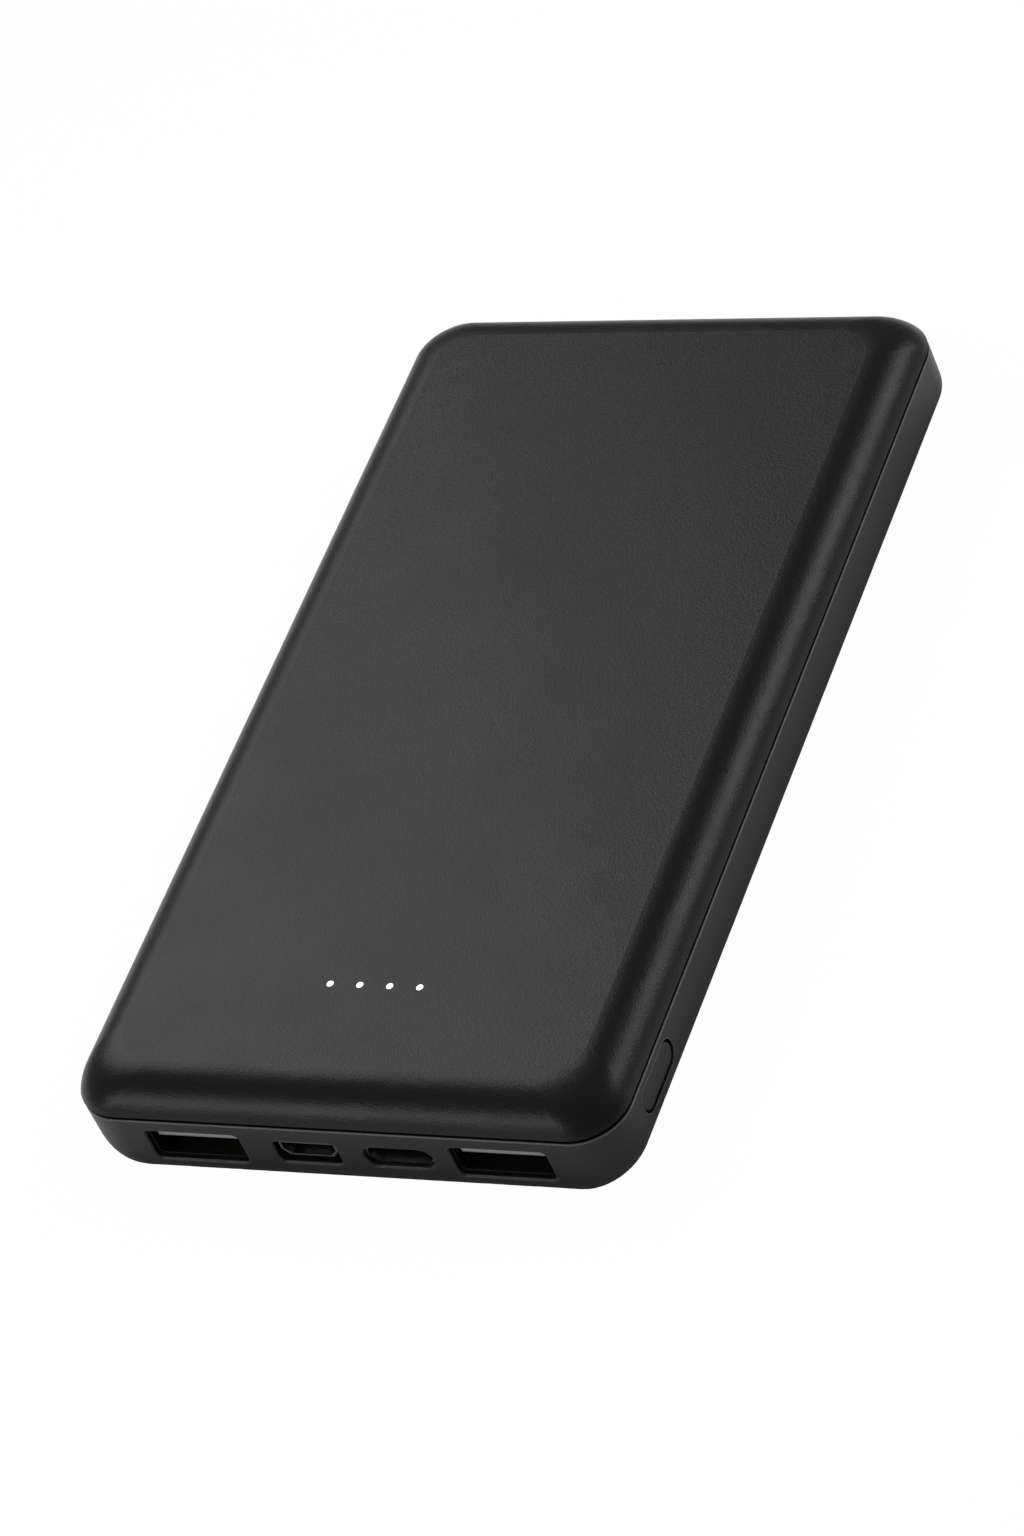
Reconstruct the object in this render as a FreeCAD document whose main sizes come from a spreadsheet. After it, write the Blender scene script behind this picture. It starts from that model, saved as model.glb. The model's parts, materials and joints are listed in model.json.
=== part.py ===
import FreeCAD, Part
import math
import os
import Sketcher

# A slim USB power bank lying on its back, ports towards -Y, top cover up.
# X is the width, Y the length, Z the thickness.  The origin is the middle of
# the footprint, on the surface the case rests on.  Millimetres throughout.

doc = FreeCAD.newDocument("PowerBank")
sheet = doc.addObject("Spreadsheet::Sheet", "Sizes")
ruler = doc.addObject("App::FeaturePython", "Ruler")
ruler.addProperty("App::PropertyFloat", "reading")

SIZES = [
    ("# case",),
    ("case_width", 72.0),
    ("case_length", 132.6),
    ("case_height", 14.2),
    ("corner_radius", 6.4),
    ("wall", 1.6),
    ("floor", 1.5),
    ("seam_height", 9.5),
    ("seam_gap", 0.4),
    ("rim_edge", 0.18),
    ("foot_side", 6.2),
    ("foot_side_rise", 4.2),
    ("foot_end", 1.8),
    ("foot_end_rise", 2.5),
    ("crown_side", 5.6),
    ("crown_end", 5.6),
    ("crown_lean", 20.0),
    ("crown_corner", 5.6),
    ("cover_wall", 1.6),
    ("lip_inset", 0.95),
    ("lip_depth", 1.1),
    ("rebate_inset", 0.85),
    ("rebate_depth", 1.2),
    ("rib_half", 24.0),
    ("rib_front", -37.4),
    ("rib_back", -36.2),
    ("rib_rise", 4.2),
    ("root", 0.2),
    ("pilot_depth", 1.6),
    ("cut_past", 0.5),
    ("mouth_past", 0.05),
    ("# sockets",),
    ("port_height", 5.2),
    ("port_bevel", 0.2),
    ("port_wall", 1.0),
    ("usb_a_offset", 20.1),
    ("usb_a_hole_width", 12.5),
    ("usb_a_hole_height", 4.9),
    ("usb_a_hole_radius", 0.7),
    ("usb_a_width", 13.1),
    ("usb_a_height", 5.7),
    ("usb_a_depth", 13.4),
    ("usb_a_sheet", 0.3),
    ("usb_a_corner", 0.6),
    ("usb_a_seat_clear", 0.3),
    ("usb_a_seat_depth", 2.0),
    ("usb_a_mouth_gap", 0.05),
    ("usb_a_foot_front", -62.0),
    ("usb_a_foot_back", -54.0),
    ("usb_a_foot_half", 0.8),
    ("usb_a_foot_reach", 1.1),
    ("usb_a_foot_root", 0.1),
    ("usb_a_tongue_width", 11.1),
    ("usb_a_tongue_low", 0.25),
    ("usb_a_tongue_thick", 1.85),
    ("usb_a_tongue_back", 0.35),
    ("usb_a_block_depth", 2.6),
    ("block_gap", 0.05),
    ("usb_a_block_gap", 0.1),
    ("usb_a_strip_width", 1.1),
    ("usb_a_strip_length", 7.6),
    ("usb_a_strip_thick", 0.12),
    ("usb_a_strip_start", 0.6),
    ("window_offset", 2.6),
    ("window_half", 1.0),
    ("window_slit", 0.25),
    ("window_front", -63.0),
    ("window_back", -58.0),
    ("micro_x", -5.3),
    ("micro_hole_width", 8.3),
    ("micro_hole_height", 3.6),
    ("micro_hole_radius", 0.7),
    ("micro_width", 7.5),
    ("micro_height", 2.5),
    ("micro_depth", 5.6),
    ("micro_slant", 0.95),
    ("micro_bend", 0.15),
    ("micro_foot_inner", 2.0),
    ("micro_foot_outer", 2.7),
    ("micro_foot_front", -63.0),
    ("micro_foot_back", -60.4),
    ("micro_blade_width", 3.9),
    ("micro_blade_length", 4.0),
    ("micro_blade_thick", 0.6),
    ("micro_block_width", 4.6),
    ("micro_block_depth", 1.2),
    ("micro_block_height", 1.75),
    ("micro_strip_width", 0.35),
    ("micro_strip_length", 2.6),
    ("micro_strip_thick", 0.08),
    ("micro_strip_pitch", 0.65),
    ("micro_strip_back", 1.3),
    ("type_c_x", 6.7),
    ("type_c_hole_width", 9.1),
    ("type_c_hole_height", 3.3),
    ("type_c_width", 8.94),
    ("type_c_height", 3.16),
    ("type_c_depth", 7.3),
    ("type_c_blade_width", 6.7),
    ("type_c_blade_length", 6.0),
    ("type_c_blade_thick", 0.7),
    ("type_c_block_width", 6.9),
    ("type_c_block_depth", 1.6),
    ("type_c_block_height", 2.3),
    ("type_c_strip_width", 0.27),
    ("type_c_strip_length", 3.4),
    ("type_c_strip_thick", 0.07),
    ("type_c_strip_pitch", 0.5),
    ("type_c_strip_back", 1.9),
    ("small_sheet", 0.28),
    ("mouth_back", 0.7),
    ("# power button",),
    ("button_y", -53.4),
    ("button_z", 6.5),
    ("button_length", 9.4),
    ("button_height", 3.3),
    ("button_gap", 0.28),
    ("button_set_back", 0.1),
    ("button_edge", 0.3),
    ("flange_length", 10.4),
    ("flange_height", 4.6),
    ("flange_thick", 0.7),
    ("flange_clear", 0.25),
    ("stem_width", 2.2),
    ("stem_height", 1.6),
    ("stem_corner", 0.3),
    ("stem_touch", 0.05),
    ("switch_front", 31.4),
    ("switch_depth", 3.4),
    ("switch_length", 6.2),
    ("switch_above", 1.4),
    ("switch_leg_x", 0.6),
    ("switch_leg_y", 3.4),
    ("switch_leg_width", 0.5),
    ("switch_leg_length", 0.6),
    ("switch_leg_thick", 0.25),
    ("plunger_out", 1.1),
    ("plunger_in", 1.2),
    ("plunger_width", 3.0),
    ("plunger_height", 1.6),
    ("plunger_clear", 0.12),
    ("plunger_corner", 0.35),
    ("# circuit board",),
    ("board_width", 64.0),
    ("board_front", -64.1),
    ("board_back", -38.6),
    ("board_corner", 5.0),
    ("board_low", 2.5),
    ("board_thick", 1.0),
    ("notch_side_clear", 0.2),
    ("notch_back_clear", 0.3),
    ("screw_x", 28.6),
    ("screw_y", -41.6),
    ("boss_radius", 2.3),
    ("screw_radius", 0.8),
    ("screw_head_radius", 1.6),
    ("screw_head_thick", 0.8),
    ("screw_length", 2.2),
    ("screw_clear", 0.3),
    ("screw_shank_play", 0.02),
    ("screw_slot_length", 2.2),
    ("screw_slot_width", 0.4),
    ("screw_slot_depth", 0.35),
    ("# charge lights",),
    ("light_x", 0.2),
    ("light_y", -48.1),
    ("light_pitch", 3.95),
    ("light_radius", 0.44),
    ("light_play", 0.01),
    ("guide_radius", 0.9),
    ("guide_bar_width", 3.0),
    ("guide_bar_thick", 1.2),
    ("guide_gap", 0.15),
    ("guide_ceiling_gap", 0.05),
    ("guide_pin_back", 0.03),
    ("guide_root", 0.1),
    ("led_width", 1.6),
    ("led_depth", 0.8),
    ("led_thick", 0.6),
    ("mask_border", 4.0),
    ("mask_height", 5.4),
    ("mask_gap", 0.05),
    ("mask_well_clear", 0.25),
    ("# cell",),
    ("cell_width", 62.0),
    ("cell_length", 92.0),
    ("cell_thick", 9.2),
    ("cell_back", 60.0),
    ("cell_corner", 3.0),
    ("cell_edge", 2.2),
    ("pad_thick", 0.3),
    ("pad_air", 0.02),
    ("pad_width", 48.0),
    ("pad_length", 74.0),
    ("foam_width", 44.0),
    ("foam_length", 70.0),
    ("foam_thick", 1.2),
    ("terrace_half", 24.0),
    ("terrace_root", 1.0),
    ("terrace_depth", 3.4),
    ("terrace_thick", 1.4),
    ("terrace_low", 5.2),
    ("tab_x", 12.0),
    ("tab_width", 5.0),
    ("tab_thick", 0.15),
    ("tab_margin", 0.4),
    ("guard_width", 36.0),
    ("guard_thick", 0.8),
    ("guard_chip_pitch", 4.0),
    ("guard_chip_width", 3.0),
    ("guard_chip_length", 1.8),
    ("guard_chip_thick", 0.8),
    ("tape_width", 20.0),
    ("tape_margin", 0.2),
    ("tape_thick", 0.08),
    ("tape_gap", 0.02),
    ("# leads",),
    ("lead_radius", 0.8),
]


# Parts soldered to the top of the board: size, then the middles (x, y).
BOARD_PARTS = {
    "power_inductor": ((7.2, 6.8, 4.2), [(-8.5, -42.4)]),
    "power_controller": ((5, 5, 0.85), [(4.5, -42.6)]),
    "port_controllers": ((3, 3, 0.75), [(13, -43), (20, -43)]),
    "switching_transistors": ((3.2, 3.2, 0.9), [(-16, -42), (-16, -46), (-21, -42), (-21, -46)]),
    "ceramic_capacitors": ((3.2, 1.6, 1.3), [(-9, -52), (-9, -54.4), (-9, -56.8),
                                             (9.5, -52.4), (9.5, -54.8), (25, -47.5)]),
    "chip_resistors": ((1.6, 0.8, 0.45), [(13, -47.6), (15.6, -47.6), (18.2, -47.6), (20.8, -47.6),
                                          (-29.4, -46), (-29.4, -47.8), (-29.4, -49.6),
                                          (-29.4, -51.4)]),
}

USB_A_STRIP_PLACES = (-3.5, -1.0, 1.0, 3.5)
MICRO_STRIPS = 5
TYPE_C_STRIPS = 12
LIGHTS = 4

# A lead's points: out from its end on the guard (x), y, height above the board
# top or, for the last two, above the guard.
LEAD_END = 14.0
LEAD_ROUTE = [(12, -39.9, 0.05), (12, -39.9, 4.0), (8, -38.6, 6.2)]
LEAD_LANDING = [(3.6, -35.2), (-1.0, -33.9)]
LEAD_BEND_SHARE = 0.45


def fill_sheet():
    row = 0
    for entry in SIZES:
        row += 1
        sheet.set(f"A{row}", entry[0].replace("_", " "))
        if len(entry) == 2:
            sheet.set(f"B{row}", str(entry[1]))
            sheet.setAlias(f"B{row}", entry[0])
    doc.recompute()


def cells(formula):
    """The formula with each sheet alias written as Sizes.alias."""
    names = sorted((e[0] for e in SIZES if len(e) == 2), key=len, reverse=True)
    words = []
    word = ""
    for mark in str(formula) + " ":
        if mark.isalnum() or mark == "_":
            word += mark
            continue
        words.append("Sizes." + word if word in names else word)
        words.append(mark)
        word = ""
    return "".join(words).strip()


def bind(thing, prop, formula):
    thing.setExpression(prop, cells(formula))


def value(formula):
    bind(ruler, "reading", formula)
    ruler.recompute()
    return ruler.reading


# ---------------------------------------------------------------- primitives

def box(name, size, middle, low):
    """A block centred on middle (x, y) that stands on height low."""
    block = doc.addObject("Part::Box", name)
    for prop, formula in zip(("Length", "Width", "Height"), size):
        bind(block, prop, formula)
    bind(block, "Placement.Base.x", f"{middle[0]} - ({size[0]}) / 2")
    bind(block, "Placement.Base.y", f"{middle[1]} - ({size[1]}) / 2")
    bind(block, "Placement.Base.z", low)
    return block


def rod(name, radius, height, middle, low):
    """An upright round rod."""
    piece = doc.addObject("Part::Cylinder", name)
    bind(piece, "Radius", radius)
    bind(piece, "Height", height)
    bind(piece, "Placement.Base.x", middle[0])
    bind(piece, "Placement.Base.y", middle[1])
    bind(piece, "Placement.Base.z", low)
    return piece


def group(label, pieces):
    """Separate solids that are one node."""
    node = doc.addObject("Part::Compound", label)
    node.Links = pieces
    return node


def join(label, pieces):
    node = doc.addObject("Part::MultiFuse", label)
    node.Shapes = pieces
    return node


def cut(label, base, tool):
    node = doc.addObject("Part::Cut", label)
    node.Base = base
    node.Tool = tool
    return node


# ------------------------------------------------------------------ sketches

PLANES = {"flat": "XY_Plane", "front": "XZ_Plane", "side": "YZ_Plane"}


def new_body(label):
    return doc.addObject("PartDesign::Body", label)


def sketch_on(body, plane, offset):
    """An empty sketch on an origin plane of the body, moved along its normal.

    The normals are +Z for flat, -Y for front and +X for side.
    """
    sketch = body.newObject("Sketcher::SketchObject", body.Name + "_sketch")
    role = PLANES[plane]
    support = next(f for f in body.Origin.OriginFeatures if f.Role == role)
    sketch.AttachmentSupport = [(support, "")]
    sketch.MapMode = "FlatFace"
    bind(sketch, ".AttachmentOffset.Base.z", offset)
    return sketch


def dimension(sketch, kind, *place, formula):
    index = sketch.addConstraint(Sketcher.Constraint(kind, *place, value(formula)))
    bind(sketch, f"Constraints[{index}]", formula)


def tangent_ring(sketch, first, count):
    """Join count line and arc pieces into one smooth closed ring."""
    for k in range(count):
        here = first + k
        after = first + (k + 1) % count
        sketch.addConstraint(Sketcher.Constraint("Tangent", here, 2, after, 1))


def arc_of(cx, cy, radius, start):
    circle = Part.Circle(FreeCAD.Vector(cx, cy, 0), FreeCAD.Vector(0, 0, 1), radius)
    return Part.ArcOfCircle(circle, math.radians(start), math.radians(start + 90))


def line_of(x0, y0, x1, y1):
    return Part.LineSegment(FreeCAD.Vector(x0, y0, 0), FreeCAD.Vector(x1, y1, 0))


def draw_rounded(sketch, width, height, radius, middle=("0", "0")):
    """A rectangle with round corners, bound to its four sizes and place."""
    hw, hh, r = value(width) / 2, value(height) / 2, value(radius)
    cx, cy = value(middle[0]), value(middle[1])
    first = sketch.GeometryCount
    sketch.addGeometry(line_of(cx + r - hw, cy - hh, cx + hw - r, cy - hh))
    sketch.addGeometry(arc_of(cx + hw - r, cy + r - hh, r, 270))
    sketch.addGeometry(line_of(cx + hw, cy + r - hh, cx + hw, cy + hh - r))
    sketch.addGeometry(arc_of(cx + hw - r, cy + hh - r, r, 0))
    sketch.addGeometry(line_of(cx + hw - r, cy + hh, cx + r - hw, cy + hh))
    sketch.addGeometry(arc_of(cx + r - hw, cy + hh - r, r, 90))
    sketch.addGeometry(line_of(cx - hw, cy + hh - r, cx - hw, cy + r - hh))
    sketch.addGeometry(arc_of(cx + r - hw, cy + r - hh, r, 180))
    tangent_ring(sketch, first, 8)
    for k, kind in enumerate(("Horizontal", "Vertical", "Horizontal", "Vertical")):
        sketch.addConstraint(Sketcher.Constraint(kind, first + 2 * k))
    for k in (3, 5, 7):
        sketch.addConstraint(Sketcher.Constraint("Equal", first + 1, first + k))
    dimension(sketch, "Radius", first + 1, formula=radius)
    dimension(sketch, "DistanceX", first + 6, 1, first + 2, 1, formula=width)
    dimension(sketch, "DistanceY", first, 1, first + 4, 1, formula=height)
    dimension(sketch, "DistanceX", first + 6, 1, formula=f"{middle[0]} - ({width}) / 2")
    dimension(sketch, "DistanceY", first, 1, formula=f"{middle[1]} - ({height}) / 2")


def draw_stadium(sketch, width, height, middle=("0", "0")):
    """A slot outline with two half-round ends."""
    w, r = value(width), value(height) / 2
    cx, cy = value(middle[0]), value(middle[1])
    half = w / 2 - r
    first = sketch.GeometryCount
    sketch.addGeometry(line_of(cx - half, cy - r, cx + half, cy - r))
    for place, start in ((cx + half, -90), (cx - half, 90)):
        circle = Part.Circle(FreeCAD.Vector(place, cy, 0), FreeCAD.Vector(0, 0, 1), r)
        ends = math.radians(start), math.radians(start + 180)
        sketch.addGeometry(Part.ArcOfCircle(circle, *ends))
        if start < 0:
            sketch.addGeometry(line_of(cx + half, cy + r, cx - half, cy + r))
    tangent_ring(sketch, first, 4)
    sketch.addConstraint(Sketcher.Constraint("Horizontal", first))
    sketch.addConstraint(Sketcher.Constraint("Horizontal", first + 2))
    dimension(sketch, "Radius", first + 1, formula=f"({height}) / 2")
    dimension(sketch, "DistanceX", first + 3, 3, first + 1, 3, formula=f"{width} - ({height})")
    dimension(sketch, "DistanceX", first + 3, 3,
              formula=f"{middle[0]} - ({width} - ({height})) / 2")
    dimension(sketch, "DistanceY", first + 3, 3, formula=middle[1])


def draw_circle(sketch, radius, middle):
    centre = FreeCAD.Vector(value(middle[0]), value(middle[1]), 0)
    index = sketch.addGeometry(Part.Circle(centre, FreeCAD.Vector(0, 0, 1), value(radius)))
    dimension(sketch, "Radius", index, formula=radius)
    dimension(sketch, "DistanceX", index, 3, formula=middle[0])
    dimension(sketch, "DistanceY", index, 3, formula=middle[1])


def corners(left, front, right, back):
    """The four corners of an upright rectangle."""
    return [(left, front), (right, front), (right, back), (left, back)]


def draw_polygon(sketch, corners):
    """A closed outline of straight lines through corners (formula, formula)."""
    points = [(value(x), value(y)) for x, y in corners]
    first = sketch.GeometryCount
    for k, here in enumerate(points):
        sketch.addGeometry(line_of(*here, *points[(k + 1) % len(points)]))
    for k, (x, y) in enumerate(corners):
        after = first + (k + 1) % len(corners)
        sketch.addConstraint(Sketcher.Constraint("Coincident", first + k, 2, after, 1))
        dimension(sketch, "DistanceX", first + k, 1, formula=x)
        dimension(sketch, "DistanceY", first + k, 1, formula=y)


# ------------------------------------------------------------ body features

def pad(body, sketch, length, reversed_=False):
    feature = body.newObject("PartDesign::Pad", body.Name + "_pad")
    feature.Profile = sketch
    bind(feature, "Length", length)
    feature.Reversed = reversed_
    doc.recompute()
    return feature


def pocket(body, sketch, depth, reversed_=False):
    """A pocket that stops the script if it removes nothing."""
    doc.recompute()
    before = body.Shape.Volume
    feature = body.newObject("PartDesign::Pocket", body.Name + "_pocket")
    feature.Profile = sketch
    bind(feature, "Length", depth)
    feature.Reversed = reversed_
    doc.recompute()
    if before - body.Shape.Volume < 1e-3:
        raise RuntimeError(f"{feature.Name} removes nothing")
    return feature


def loft(body, kind, sketches):
    feature = body.newObject(f"PartDesign::{kind}Loft", f"{body.Name}_{kind.lower()}_loft")
    feature.Profile = sketches[0]
    feature.Sections = sketches[1:]
    doc.recompute()
    return feature


def soften(body, kind, radius, chosen):
    """A fillet or chamfer on the edges of the body's tip that chosen accepts."""
    doc.recompute()
    tip = body.Tip
    edges = [f"Edge{k}" for k, e in enumerate(tip.Shape.Edges, 1) if chosen(e)]
    if not edges:
        raise RuntimeError(f"{body.Name}: no edge to soften")
    feature = body.newObject(f"PartDesign::{kind}", f"{body.Name}_{kind.lower()}")
    feature.Base = (tip, edges)
    bind(feature, "Radius" if kind == "Fillet" else "Size", radius)
    doc.recompute()
    return feature


def spans(edge, low, high, slack=1e-4):
    """Whether the edge lies wholly in the box from low to high."""
    frame = edge.BoundBox
    lows = (frame.XMin, frame.YMin, frame.ZMin)
    highs = (frame.XMax, frame.YMax, frame.ZMax)
    inside = all(a >= b - slack for a, b in zip(lows, low))
    return inside and all(a <= b + slack for a, b in zip(highs, high))


# ---------------------------------------------------------------- the shells

ROLL_STEPS = 5


def foot_inset(depth, rise, level):
    """How far the rolled bottom edge is in from the wall at a height."""
    return f"({depth} * (1 - sqrt(1 - max(0; 1 - ({level}) / ({rise}))^2)))"


def crown_turn(step):
    """Angle along the crown's curve, in degrees, from its lean to flat."""
    return f"((crown_lean + (90 - crown_lean) * {step / ROLL_STEPS:.2f}) * 1deg)"


def crown_inset(depth, step):
    return f"({depth} * (1 - cos{crown_turn(step)} / cos(crown_lean * 1deg)))"


def crown_level(rise, step):
    lean = "sin(crown_lean * 1deg)"
    return f"({rise} * (sin{crown_turn(step)} - {lean}) / (1 - {lean}))"


def plan_section(body, level, inset_x, inset_y, radius):
    sketch = sketch_on(body, "flat", level)
    draw_rounded(sketch, f"case_width - 2 * {inset_x}", f"case_length - 2 * {inset_y}", radius)
    return sketch


def foot_sections(body, extra, low):
    """Sections of the rolled bottom edge, inset by extra and starting at low."""
    sections = []
    for step in range(ROLL_STEPS + 1):
        share = 1 - math.cos(math.radians(90 * step / ROLL_STEPS))
        rise = f"(foot_side_rise - {low})"
        level = f"({rise} * {share:.4f})"
        x = foot_inset(f"(foot_side - {extra} / 2)", rise, level)
        y = foot_inset("foot_end", f"(foot_end_rise - {low} / 2)", level)
        radius = f"corner_radius - {extra} - ({x} + {y}) / 2"
        place = f"{low} + {level}"
        sections.append(plan_section(body, place, f"({extra} + {x})", f"({extra} + {y})", radius))
    return sections


def crown_sections(body, extra, rise):
    """Sections of the cover's crowned edge, from the seam up."""
    sections = []
    for step in range(ROLL_STEPS + 1):
        x = crown_inset(f"(crown_side - {extra} / 2)", step)
        y = crown_inset(f"(crown_end - {extra} / 2)", step)
        tighten = f"(corner_radius - crown_corner) * {step / ROLL_STEPS:.2f}"
        radius = f"corner_radius - {extra} - {tighten}"
        place = f"seam_height + seam_gap + rim_edge + {crown_level(rise, step)}"
        sections.append(plan_section(body, place, f"({extra} + {x})", f"({extra} + {y})", radius))
    return sections


def front_outline(body, draw, x, size, start, radius=None):
    """A socket outline on a plane that lies start in from the front face."""
    sketch = sketch_on(body, "front", f"case_length / 2 - ({start})")
    corners = [] if radius is None else [radius]
    draw(sketch, *size, *corners, (x, "port_height"))
    return sketch


def bevelled_hole(body, draw, x, size, radius=None):
    """A socket hole through the front wall, its mouth flared by the bevel."""
    outer = [f"{side} + 2 * (port_bevel + mouth_past)" for side in size]
    wide = radius and f"{radius} + port_bevel + mouth_past"
    mouth = front_outline(body, draw, x, outer, "-mouth_past", wide)
    throat = front_outline(body, draw, x, size, "port_bevel", radius)
    loft(body, "Subtractive", [mouth, throat])
    hole = front_outline(body, draw, x, size, "port_bevel", radius)
    pocket(body, hole, "wall + cut_past")


def make_bottom_case():
    body = new_body("bottom_case")
    loft(body, "Additive", foot_sections(body, "0", "0"))
    wall_sketch = plan_section(body, "foot_side_rise", "0", "0", "corner_radius")
    pad(body, wall_sketch, "seam_height - foot_side_rise")
    top = value("seam_height")
    wide, long_ = value("case_width") / 2 + 1, value("case_length") / 2 + 1
    soften(body, "Fillet", "rim_edge",
           lambda e: spans(e, (-wide, -long_, top), (wide, long_, top)))
    loft(body, "Subtractive", foot_sections(body, "wall", "floor"))
    inner = plan_section(body, "seam_height", "wall", "wall", "corner_radius - wall")
    pocket(body, inner, "seam_height - foot_side_rise")
    rebate = plan_section(body, "seam_height", "rebate_inset", "rebate_inset",
                          "corner_radius - rebate_inset")
    pocket(body, rebate, "rebate_depth")
    make_case_bosses(body)
    cut_port_holes(body)
    cut_button_slot(body)
    return body


def make_case_bosses(body):
    """Two screw bosses, with their pilot holes, and the rib before the cell."""
    sketch = sketch_on(body, "flat", "floor - root")
    for sign in ("", "-"):
        draw_circle(sketch, "boss_radius", (f"{sign}screw_x", "screw_y"))
    pad(body, sketch, "board_low - floor + root")
    rib = sketch_on(body, "flat", "floor - root")
    draw_polygon(rib, corners("-rib_half", "rib_front", "rib_half", "rib_back"))
    pad(body, rib, "rib_rise")
    pilot = sketch_on(body, "flat", "board_low")
    for sign in ("", "-"):
        draw_circle(pilot, "screw_radius", (f"{sign}screw_x", "screw_y"))
    pocket(body, pilot, "pilot_depth")


def cut_port_holes(body):
    big = "usb_a_hole_width", "usb_a_hole_height"
    for sign in ("-", ""):
        bevelled_hole(body, draw_rounded, f"{sign}usb_a_offset", big, "usb_a_hole_radius")
    small = "micro_hole_width", "micro_hole_height"
    bevelled_hole(body, draw_rounded, "micro_x", small, "micro_hole_radius")
    slot = "type_c_hole_width", "type_c_hole_height"
    bevelled_hole(body, draw_stadium, "type_c_x", slot)
    shell = "usb_a_width + usb_a_seat_clear", "usb_a_height + usb_a_seat_clear"
    for sign in ("-", ""):
        seat = front_outline(body, draw_rounded, f"{sign}usb_a_offset", shell, "port_wall",
                             "usb_a_hole_radius")
        pocket(body, seat, "usb_a_seat_depth")


def cut_button_slot(body):
    sketch = sketch_on(body, "side", "case_width / 2")
    draw_stadium(sketch, "button_length + 2 * button_gap", "button_height + 2 * button_gap",
                 ("button_y", "button_z"))
    pocket(body, sketch, "wall + cut_past")


def make_top_cover():
    body = new_body("top_cover")
    rise = "(case_height - seam_height - seam_gap - rim_edge)"
    loft(body, "Additive", crown_sections(body, "0", rise))
    base = "seam_height + seam_gap"
    bevel = [plan_section(body, base, "rim_edge", "rim_edge", "corner_radius - rim_edge"),
             plan_section(body, f"{base} + rim_edge", "0", "0", "corner_radius")]
    loft(body, "Additive", bevel)
    lip = plan_section(body, "seam_height + seam_gap", "lip_inset", "lip_inset",
                       "corner_radius - lip_inset")
    pad(body, lip, "seam_gap + lip_depth", True)
    loft(body, "Subtractive", crown_sections(body, "wall", f"({rise} - cover_wall)"))
    inner = plan_section(body, f"{base} + rim_edge", "wall", "wall", "corner_radius - wall")
    pocket(body, inner, "rim_edge + seam_gap + lip_depth")
    lights = sketch_on(body, "flat", "case_height")
    for x in light_places():
        draw_circle(lights, "light_radius + light_play", (x, "light_y"))
    pocket(body, lights, "cover_wall + cut_past")
    return body


def light_places():
    return [f"(light_x + light_pitch * {k - (LIGHTS - 1) / 2})" for k in range(LIGHTS)]


# --------------------------------------------------------------- the sockets

def make_usb_a(side, sign):
    """A full-size socket: shell, tongue and four spring contacts."""
    x = f"{sign}usb_a_offset"
    mouth = "case_length / 2 - port_wall - usb_a_mouth_gap"
    shell = new_body(f"usb_a_{side}_shell")
    outer = sketch_on(shell, "front", mouth)
    draw_rounded(outer, "usb_a_width", "usb_a_height", "usb_a_corner", (x, "port_height"))
    pad(shell, outer, "usb_a_depth", True)
    inner = sketch_on(shell, "front", mouth)
    draw_rounded(inner, "usb_a_width - 2 * usb_a_sheet", "usb_a_height - 2 * usb_a_sheet",
                 "usb_a_corner - usb_a_sheet", (x, "port_height"))
    pocket(shell, inner, "usb_a_depth - usb_a_sheet")
    spring_windows(shell, x)
    feet = sketch_on(shell, "flat", "board_low + board_thick")
    for edge in ("-", ""):
        near = f"{x} + {edge}(usb_a_width / 2 - usb_a_foot_root)"
        far = f"{x} + {edge}(usb_a_width / 2 + usb_a_foot_reach)"
        for y in ("usb_a_foot_front", "usb_a_foot_back"):
            draw_polygon(feet, corners(near, f"{y} - usb_a_foot_half",
                                       far, f"{y} + usb_a_foot_half"))
    pad(shell, feet, "usb_a_sheet")
    tongue_low = "port_height + usb_a_tongue_low"
    front = f"(-({mouth}) + usb_a_tongue_back)"
    back = f"(-({mouth}) + usb_a_depth - usb_a_sheet)"
    blade = box(f"usb_a_{side}_blade",
                ("usb_a_tongue_width", f"{back} - {front}", "usb_a_tongue_thick"),
                (x, f"({front} + {back}) / 2"), tongue_low)
    block = box(f"usb_a_{side}_block",
                ("usb_a_width - 2 * (usb_a_sheet + usb_a_block_gap)", "usb_a_block_depth",
                 "usb_a_height - 2 * (usb_a_sheet + usb_a_block_gap)"),
                (x, f"{back} - block_gap - usb_a_block_depth / 2"),
                "port_height - usb_a_height / 2 + usb_a_sheet + usb_a_block_gap")
    tongue = join(f"usb_a_{side}_tongue", [blade, block])
    strips = []
    for k, place in enumerate(USB_A_STRIP_PLACES):
        strips.append(box(f"usb_a_{side}_strip_{k}",
                          ("usb_a_strip_width", "usb_a_strip_length", "usb_a_strip_thick"),
                          (f"{x} + {place}",
                           f"{front} + usb_a_strip_start + usb_a_strip_length / 2"),
                          f"{tongue_low} - usb_a_strip_thick"))
    contacts = group(f"usb_a_{side}_contacts", strips)
    return [shell, tongue, contacts]


def spring_windows(shell, x):
    """Two spring fingers cut free in the shell's top and in its bottom."""
    top = sketch_on(shell, "flat", "port_height + usb_a_height / 2")
    for edge in ("-", ""):
        middle = f"{x} + {edge}window_offset"
        left, right = f"{middle} - window_half", f"{middle} + window_half"
        for near, far in ((left, f"{left} + window_slit"), (f"{right} - window_slit", right)):
            draw_polygon(top, corners(near, "window_front", far, "window_back"))
    pocket(shell, top, "usb_a_height")


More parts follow.
